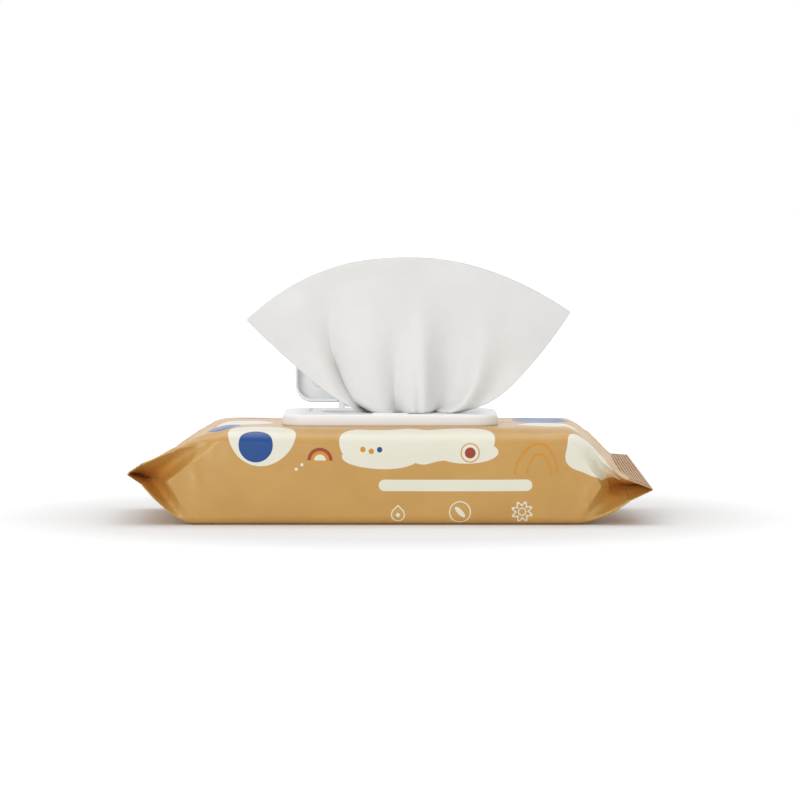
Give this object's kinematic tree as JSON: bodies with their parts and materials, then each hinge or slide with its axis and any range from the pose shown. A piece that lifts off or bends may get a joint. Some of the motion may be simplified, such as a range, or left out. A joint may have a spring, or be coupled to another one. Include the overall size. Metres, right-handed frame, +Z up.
{
  "type": "wet wipes pack",
  "caption": "Gusseted film pouch of folded wet wipes with crimped ends, a hinged flip-top dispensing lid standing open and one wipe pulled up through it.",
  "frame": {"origin": "middle of the underside, on the surface that the pack rests on", "axes": "+X along the pack towards its right end, +Y to the hinge side of the lid, +Z up"},
  "size_m": [0.2328, 0.1012, 0.1162],
  "materials": {
    "film": "satin kraft-tan printed film",
    "lid": "moulded white polypropylene, soft gloss",
    "pad": "white foam tape",
    "wipe": "damp white non-woven"
  },
  "bodies": {
    "pack": {"film_wrapper": "film", "wipe_stack": "wipe", "adhesive_pad": "pad", "lid_base": "lid", "raised_wipe": "wipe"},
    "flap": {"lid_flap": "lid"}
  },
  "joints": [
    {"name": "lid_hinge", "type": "hinge", "parent": "pack", "child": "flap", "pos_m": [0, 0.0293, 0.0496], "axis": [1, 0, 0], "range_deg": [-15, 100], "deforming": ["raised_wipe"]}
  ]
}
